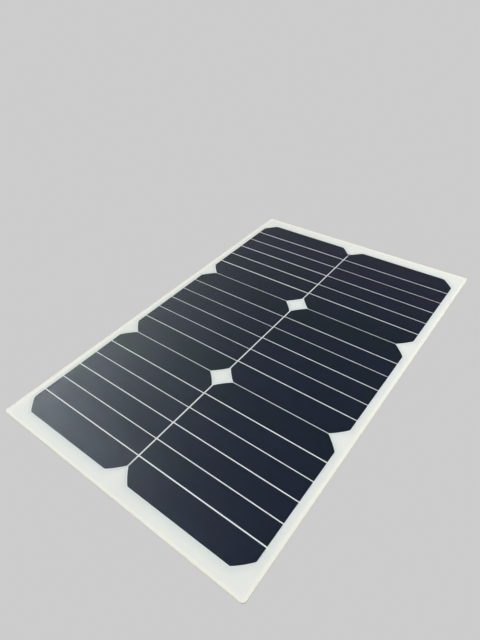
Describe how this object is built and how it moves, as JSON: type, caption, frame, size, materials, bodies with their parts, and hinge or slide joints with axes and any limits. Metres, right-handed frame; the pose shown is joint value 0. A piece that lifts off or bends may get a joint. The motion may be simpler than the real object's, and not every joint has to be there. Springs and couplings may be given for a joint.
{
  "type": "semi-flexible solar panel",
  "caption": "Thin white semi-flexible solar panel: dark cells cut into cross strips under a clear film, with a hinged junction box and cable gland on the back.",
  "frame": {"origin": "centre of the laminate's flat rear face", "axes": "+X across the panel, +Y along its long side and away from the junction box, +Z out of the front face"},
  "size_m": [0.269, 0.4194, 0.0237],
  "materials": {
    "silicon": "satin, textured monocrystalline silicon with an anti-reflection coating",
    "front_film": "clear satin film",
    "front_encapsulant": "clear",
    "rear_encapsulant": "white, satin",
    "backing_board": "white glass-fibre board",
    "rear_sheet": "white, fine matt",
    "ribbon": "tinned copper",
    "adhesive_pad": "matt foam tape",
    "box_shell": "moulded, fine spark texture",
    "gland": "moulded nylon",
    "carrier": "moulded",
    "terminal": "machined",
    "steel": "zinc plated",
    "diode": "moulded epoxy",
    "rubber": "matt"
  },
  "bodies": {
    "panel": {"left_cell_1_strip_1": "silicon", "left_cell_1_strip_2": "silicon", "left_cell_1_strip_3": "silicon", "left_cell_1_strip_4": "silicon", "left_cell_1_strip_5": "silicon", "left_cell_1_strip_6": "silicon", "left_cell_2_strip_1": "silicon", "left_cell_2_strip_2": "silicon", "left_cell_2_strip_3": "silicon", "left_cell_2_strip_4": "silicon", "left_cell_2_strip_5": "silicon", "left_cell_2_strip_6": "silicon", "left_cell_3_strip_1": "silicon", "left_cell_3_strip_2": "silicon", "left_cell_3_strip_3": "silicon", "left_cell_3_strip_4": "silicon", "left_cell_3_strip_5": "silicon", "left_cell_3_strip_6": "silicon", "right_cell_1_strip_1": "silicon", "right_cell_1_strip_2": "silicon", "right_cell_1_strip_3": "silicon", "right_cell_1_strip_4": "silicon", "right_cell_1_strip_5": "silicon", "right_cell_1_strip_6": "silicon", "right_cell_2_strip_1": "silicon", "right_cell_2_strip_2": "silicon", "right_cell_2_strip_3": "silicon", "right_cell_2_strip_4": "silicon", "right_cell_2_strip_5": "silicon", "right_cell_2_strip_6": "silicon", "right_cell_3_strip_1": "silicon", "right_cell_3_strip_2": "silicon", "right_cell_3_strip_3": "silicon", "right_cell_3_strip_4": "silicon", "right_cell_3_strip_5": "silicon", "right_cell_3_strip_6": "silicon", "rear_sheet": "rear_sheet", "backing_board": "backing_board", "rear_encapsulant": "rear_encapsulant", "front_encapsulant": "front_encapsulant", "front_film": "front_film", "cross_ribbon": "ribbon", "positive_ribbon": "ribbon", "negative_ribbon": "ribbon", "adhesive_pad": "adhesive_pad", "junction_box_base": "box_shell", "lid_gasket": "rubber", "hinge_pin": "steel", "terminal_carrier": "carrier", "positive_terminal": "terminal", "negative_terminal": "terminal", "blocking_diode": "diode", "gland_body": "gland", "gland_lock_nut": "gland", "gland_seal": "rubber"},
    "lid": {"junction_box_lid": "box_shell"},
    "gland_nut": {"gland_nut": "gland"},
    "positive_screw": {"positive_terminal_screw": "steel"},
    "negative_screw": {"negative_terminal_screw": "steel"}
  },
  "joints": [
    {"name": "lid_hinge", "type": "hinge", "parent": "panel", "child": "lid", "pos_m": [-0.0345, -0.168, -0.0184], "axis": [0, 1, 0], "range_deg": [0, 110]},
    {"name": "gland_nut_turn", "type": "hinge", "parent": "panel", "child": "gland_nut", "pos_m": [0, -0.128, -0.0097], "axis": [0, 1, 0], "continuous": true},
    {"name": "positive_screw_turn", "type": "hinge", "parent": "panel", "child": "positive_screw", "pos_m": [-0.012, -0.165, -0.0128], "axis": [0, 0, 1], "continuous": true},
    {"name": "negative_screw_turn", "type": "hinge", "parent": "panel", "child": "negative_screw", "pos_m": [0.012, -0.165, -0.0128], "axis": [0, 0, 1], "continuous": true}
  ]
}
